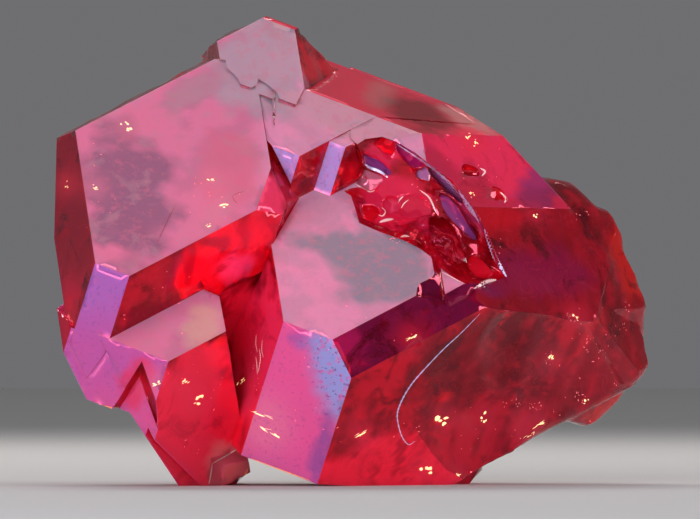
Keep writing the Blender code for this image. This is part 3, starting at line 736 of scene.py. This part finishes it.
# dark dots and pale grains in the etching
dark_dots = between(noise(7500, 2, 0.5), 0.32, 0.42, 0.75, 0.0)
pale_grains = between(noise(4200, 3, 0.6), 0.54, 0.62, 0.0, 0.6)
colour = blend(number_of("MULTIPLY", etch_is, dark_dots), colour, (0.16, 0.06, 0.30))
colour = blend(number_of("MULTIPLY", etch_is, pale_grains), colour, (0.80, 0.14, 0.50))
links.new(colour, skin.inputs["Base Color"])
links.new(reading("clear"), skin.inputs["Transmission Weight"])
uneven = between(speckle, 0.35, 0.65, -0.02, 0.04)
links.new(number_of("ADD", reading("matt"), uneven), skin.inputs["Roughness"])
hills = nodes.new("ShaderNodeBump")
hills.inputs["Distance"].default_value = 0.00002
hills.inputs["Strength"].default_value = 0.5
links.new(noise(900, 4, 0.55), hills.inputs["Height"])
links.new(hills.outputs["Normal"], skin.inputs["Normal"])
inside = nodes.new("ShaderNodeVolumeAbsorption")
inside.inputs["Color"].default_value = (0.98, 0.02, 0.06, 1)
inside.inputs["Density"].default_value = 600.0
links.new(inside.outputs["Volume"], nodes["Material Output"].inputs["Volume"])
mesh.materials.clear()
mesh.materials.append(clear_red)
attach(crystal, "root")
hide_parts("cuprite_crystal")

# ---- Glints ----------------------------------------------------------------------------
# Painted highlights: small cleavage cracks in the body that mirror the lamps, drawn as thin
# cupped flakes laid on the skin that glow of their own, the larger ones warm white, the small
# rose-coloured sparks strewn in groups.

# a group: its middle, half width and half height seen from the front, how many sparks
GROUPS = [(-5.0, 10.6, 1.2, 0.8, 14), (-9.3, 11.0, 0.6, 1.6, 8), (-3.6, 4.7, 0.25, 1.4, 12),
          (-5.9, 3.0, 1.3, 1.9, 16), (4.6, 2.0, 3.4, 0.9, 26), (8.6, 4.6, 1.3, 2.2, 22),
          (-7.6, 6.2, 1.6, 1.8, 10), (-1.4, 3.0, 1.0, 2.0, 8), (5.0, 12.0, 1.2, 0.8, 8),
          (3.2, 10.8, 1.5, 1.2, 12), (0.6, 5.9, 2.0, 1.0, 8), (7.99, 6.17, 0.22, 0.16, 10),
          (7.20, 4.59, 0.20, 0.30, 12), (8.58, 5.18, 0.15, 0.30, 8), (9.11, 4.79, 0.15, 0.15, 8),
          (8.32, 3.27, 0.25, 0.25, 10), (8.72, 2.22, 0.20, 0.15, 6), (5.76, 3.01, 0.35, 0.15, 10),
          (6.61, 2.88, 0.35, 0.15, 10), (10.1, 6.56, 0.15, 0.2, 5), (9.90, 5.77, 0.15, 0.15, 5),
          (8.39, 9.98, 0.30, 0.25, 6), (5.23, 8.80, 0.25, 0.30, 4), (1.9, 9.0, 0.7, 0.15, 12)]
draw = np.random.default_rng(11)
sparks = []              # place seen from the front, half width, half height, turn in degrees
for x, z, wide, tall, many in GROUPS:
    sparks += [(x + wide * a, z + tall * b, 0.015 + 0.055 * c * c, 0.008 + 0.014 * d, 180 * e)
               for a, b, c, d, e in np.c_[draw.uniform(-1, 1, (many, 2)), draw.uniform(0, 1, (many, 3))]]


def flakes(rows, corners, lift, tip, seed):
    """A cupped flake for each (place, normal, half width, half height, turn): corners points
    on an uneven oval, lift mm over the skin, round a middle a twentieth of the lesser half
    width further out; tip leans them at random, and 0 keeps them level."""
    rng = np.random.default_rng(seed)
    at, out, wide, tall, turn = (np.array([r[i] for r in rows]) for i in range(5))
    out = out + rng.normal(0, tip, out.shape)
    out /= np.linalg.norm(out, axis=1)[:, None]
    side = np.cross((0.0, 0.0, 1.0), out)
    side /= np.linalg.norm(side, axis=1)[:, None]
    up = np.cross(out, side)
    angle = np.linspace(0, 2 * math.pi, corners, endpoint=False)
    angle = angle + rng.uniform(-0.25, 0.25, (len(rows), corners))
    reach = rng.uniform(0.6, 1.1, angle.shape)
    a, b = reach * np.cos(angle) * wide[:, None], reach * np.sin(angle) * tall[:, None]
    c, s = np.cos(np.radians(turn))[:, None], np.sin(np.radians(turn))[:, None]
    a, b = a * c - b * s, a * s + b * c
    middle = at + out * lift
    rim = middle[:, None] + a[..., None] * side[:, None] + b[..., None] * up[:, None]
    top = middle + out * 0.05 * np.minimum(wide, tall)[:, None]
    points = np.concatenate([rim, top[:, None]], axis=1).reshape(-1, 3)
    base = np.arange(len(rows))[:, None] * (corners + 1)
    i = np.arange(corners)
    tops = np.broadcast_to(base + corners, (len(rows), corners))
    faces = np.stack([base + i, base + (i + 1) % corners, tops], axis=2)
    return points, faces.reshape(-1, 3)


def new_piece(name, points, faces, material):
    """An object with this mesh in place, in mm, riding on the crystal's body."""
    me = bpy.data.meshes.new(name)
    me.from_pydata((np.asarray(points) * MM).tolist(), [], np.asarray(faces).tolist())
    me.materials.append(material)
    ob = bpy.data.objects.new(name, me)
    bpy.context.scene.collection.objects.link(ob)
    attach(ob, "root")
    return ob


def laid(places):
    """The places as they lie on the crystal's front, with the normal there; those that miss
    it or meet it almost edge-on are left out."""
    met = [(on_front(x, z), *rest) for x, z, *rest in places]
    return [(*at, *rest) for at, *rest in met if at is not None and at[1][1] < -0.1]


def gloss(name, colour, roughness, metallic=0.0, glow=(1.0, 1.0, 1.0), strength=0.0):
    """A plain shiny material, with a faint glow of its own where strength says so."""
    material = bpy.data.materials.new(name)
    material.use_nodes = True
    shine = material.node_tree.nodes["Principled BSDF"]
    shine.inputs["Base Color"].default_value = (*colour, 1)
    shine.inputs["Roughness"].default_value = roughness
    shine.inputs["Metallic"].default_value = metallic
    shine.inputs["Emission Color"].default_value = (*glow, 1)
    shine.inputs["Emission Strength"].default_value = strength
    return material


GLINT_LIFT, SPARK_LIFT = 0.005, 0.004        # mm over the skin
painted_glint_white = gloss("painted_glint_white", (1.0, 0.82, 0.50), 0.25, glow=(1.0, 0.60, 0.26), strength=0.8)
shards = []              # a larger glint is six shards
for x, z, wide, tall, turn in GLINTS:
    c, s = math.cos(math.radians(turn)), math.sin(math.radians(turn))
    for a, b, c_size, d_size, e in np.c_[draw.uniform(-0.8, 0.8, (6, 2)), draw.uniform(0, 1, (6, 3))]:
        a, b = a * wide, b * tall
        shards.append((x + a * c - b * s, z + a * s + b * c, (0.20 + 0.45 * c_size) * wide,
                       (0.12 + 0.35 * d_size) * tall, turn + 40 * (e - 0.5)))
new_piece("glints", *flakes(laid(shards), 6, GLINT_LIFT, 0.0, 12), painted_glint_white)
# the sparks' flakes are painted highlights too, rose with a glow of their own
rose = gloss("rose", (1.0, 0.22, 0.26), 0.25, glow=(1.0, 0.20, 0.20), strength=0.45)
new_piece("sparks", *flakes(laid(sparks), 5, SPARK_LIFT, 0.0, 13), rose)

# ---- Painted highlights on cracks and sharp rims ----------------------------------------
# Painted highlights: one long curved crack in the front flank and the raw edges of the
# shell-like break, where they catch the cool lamp, are drawn as thin violet-white lines,
# smaller edges and streaks as rosy-white ones.  All are ribbons laid on the skin; a line is its
# half width and its route from the front.
CRACK = (0.022, [(4.59, 6.32), (3.86, 5.58), (3.19, 4.96), (2.35, 4.07), (1.95, 3.56), (1.65, 3.00),
                 (1.54, 2.53), (1.69, 1.86), (1.95, 1.51), (2.21, 1.64)])
RIMS = [
    (0.065, [(4.75, 9.41), (4.93, 8.90), (5.12, 8.42), (5.34, 8.01), (5.56, 7.64)]),
    (0.050, [(0.29, 11.84), (0.55, 11.66), (0.77, 11.58), (0.99, 11.47), (1.21, 11.29)]),
    (0.040, [(1.51, 12.55), (2.61, 11.81), (3.38, 11.19), (4.08, 10.44), (4.58, 9.60)]),
    (0.070, [(3.98, 10.47), (4.17, 10.22), (4.40, 9.95), (4.60, 9.72)]),
]
ARCS = [
    (0.030, [(2.37, 10.85), (2.69, 10.61), (2.85, 10.33), (2.97, 10.01)]),
    (0.050, [(0.89, 9.65), (1.13, 9.73), (1.41, 9.77)]),
    (0.035, [(1.67, 9.11), (1.81, 9.15), (1.99, 9.13)]),
    (0.060, [(4.36, 7.22), (4.80, 7.46), (5.18, 7.54)]),
    (0.035, [(4.60, 11.65), (4.78, 11.53), (4.66, 11.35)]),
    (0.035, [(5.36, 10.77), (5.56, 10.53), (5.48, 10.37)]),
    (0.030, [(2.63, 11.67), (2.73, 11.45), (2.72, 11.19)]),
    (0.020, [(0.01, 11.05), (0.29, 10.91), (0.53, 10.78), (0.73, 10.83)]),
    (0.022, [(0.97, 10.21), (1.11, 10.05), (1.01, 9.89), (0.85, 9.93)]),
    (0.018, [(1.77, 10.61), (1.65, 10.50), (1.59, 10.37)]),
    (0.018, [(1.97, 10.49), (1.80, 10.35), (1.69, 10.17)]),
    (0.015, [(3.13, 7.82), (3.12, 7.58), (3.21, 7.17)]),
    (0.015, [(3.15, 7.84), (3.50, 7.66), (3.96, 7.41)]),
    (0.025, [(-5.24, 0.81), (-4.75, 1.09), (-4.35, 1.33)]),
    (0.025, [(-5.24, 0.81), (-5.29, 0.43), (-5.36, 0.06)]),
    (0.012, [(-3.61, 5.55), (-3.63, 5.21), (-3.57, 4.88)]),
    (0.014, [(-3.50, 5.03), (-3.46, 4.66), (-3.54, 4.15)]),
    (0.012, [(-3.63, 4.74), (-3.59, 4.44), (-3.57, 4.07)]),
    (0.010, [(-3.39, 5.36), (-3.41, 4.99), (-3.35, 4.70)]),
]


def ribbon(half_width, route, lift):
    """A thin strip along a route seen from the front, laid lift mm over the crystal's skin: a
    smooth curve through the route, widest in the middle, with ends that taper to a point.
    It leaves out what misses the crystal."""
    route = np.array(route)
    t = np.linspace(0, len(route) - 1, 12 * len(route))
    i = np.clip(t.astype(int), 0, len(route) - 2)
    f = (t - i)[:, None]
    slope = np.gradient(route, axis=0)
    line = ((2 * f**3 - 3 * f**2 + 1) * route[i] + (f**3 - 2 * f**2 + f) * slope[i]
            + (3 * f**2 - 2 * f**3) * route[i + 1] + (f**3 - f**2) * slope[i + 1])
    way = np.gradient(line, axis=0)
    way /= np.linalg.norm(way, axis=1)[:, None]
    width = half_width * np.sin(np.linspace(0, math.pi, len(line))) ** 0.5
    width = width * (1 + 0.35 * np.sin(np.arange(len(line)) * 1.7))
    across = np.c_[-way[:, 1], way[:, 0]] * width[:, None]
    pairs = [(on_front(*a), on_front(*b)) for a, b in zip(line + across, line - across)]
    pairs = [pair for pair in pairs if all(pair)]
    strip = [pair[side][0] + pair[side][1] * lift for side in (0, 1) for pair in pairs]
    n = len(pairs)
    faces = [(k, k + 1, n + k + 1, n + k) for k in range(n - 1)]
    return np.array(strip), faces


CRACK_LIFT, RIM_LIFT = 0.004, 0.006          # mm over the skin
painted_highlight_violet = gloss("painted_highlight_violet", (0.72, 0.66, 1.0), 0.3, metallic=0.5)
new_piece("long_crack", *ribbon(*CRACK, CRACK_LIFT), painted_highlight_violet)
for number, rim in enumerate(RIMS, 1):
    new_piece("rim_%d" % number, *ribbon(*rim, RIM_LIFT), painted_highlight_violet)
painted_highlight_rosy = gloss("painted_highlight_rosy", (1.0, 0.66, 0.66), 0.3)
for number, arc in enumerate(ARCS, 1):
    new_piece("arc_%d" % number, *ribbon(*arc, RIM_LIFT), painted_highlight_rosy)

# ---- Painted light on thin edges --------------------------------------------------------
# Painted light: thin lowest edges of the same clear body, where light comes through it
# orange, get orange ribbons laid along them.
EDGE_LIGHT_HALF, EDGE_LIGHT_LIFT = 0.025, 0.005        # mm
EDGES = [
    [(-9.54, 3.08), (-8.91, 2.89), (-8.40, 2.75), (-8.10, 2.42)],
    [(-3.83, 1.02), (-2.76, 0.62), (-1.62, 0.20)],
    [(-4.35, 0.10), (-4.05, 0.39), (-3.94, 0.61)],
]
painted_edge_light = gloss("painted_edge_light", (1.0, 0.32, 0.12), 0.3)
for number, edge in enumerate(EDGES, 1):
    new_piece("amber_%d" % number, *ribbon(EDGE_LIGHT_HALF, edge, EDGE_LIGHT_LIFT), painted_edge_light)

# ---- Hairlines --------------------------------------------------------------------------
# Fine dark cracks that come up to the large terrace: one long one, and three short ones
# near its edge, where a small chip is about to come off.
HAIR_HALF, HAIR_LIFT = 0.013, 0.003          # mm
HAIRS = [
    [(-6.56, 10.30), (-6.89, 9.60), (-7.29, 8.75)],
    [(-4.50, 10.62), (-4.28, 10.72), (-4.05, 10.78)],
    [(-4.50, 10.62), (-4.42, 10.45), (-4.30, 10.35)],
    [(-4.55, 9.65), (-4.42, 9.50), (-4.30, 9.35)],
]
dark_red = gloss("dark_red", (0.25, 0.005, 0.04), 0.35)
for number, hair in enumerate(HAIRS, 1):
    new_piece("hairline_%d" % number, *ribbon(HAIR_HALF, hair, HAIR_LIFT), dark_red)

low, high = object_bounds()
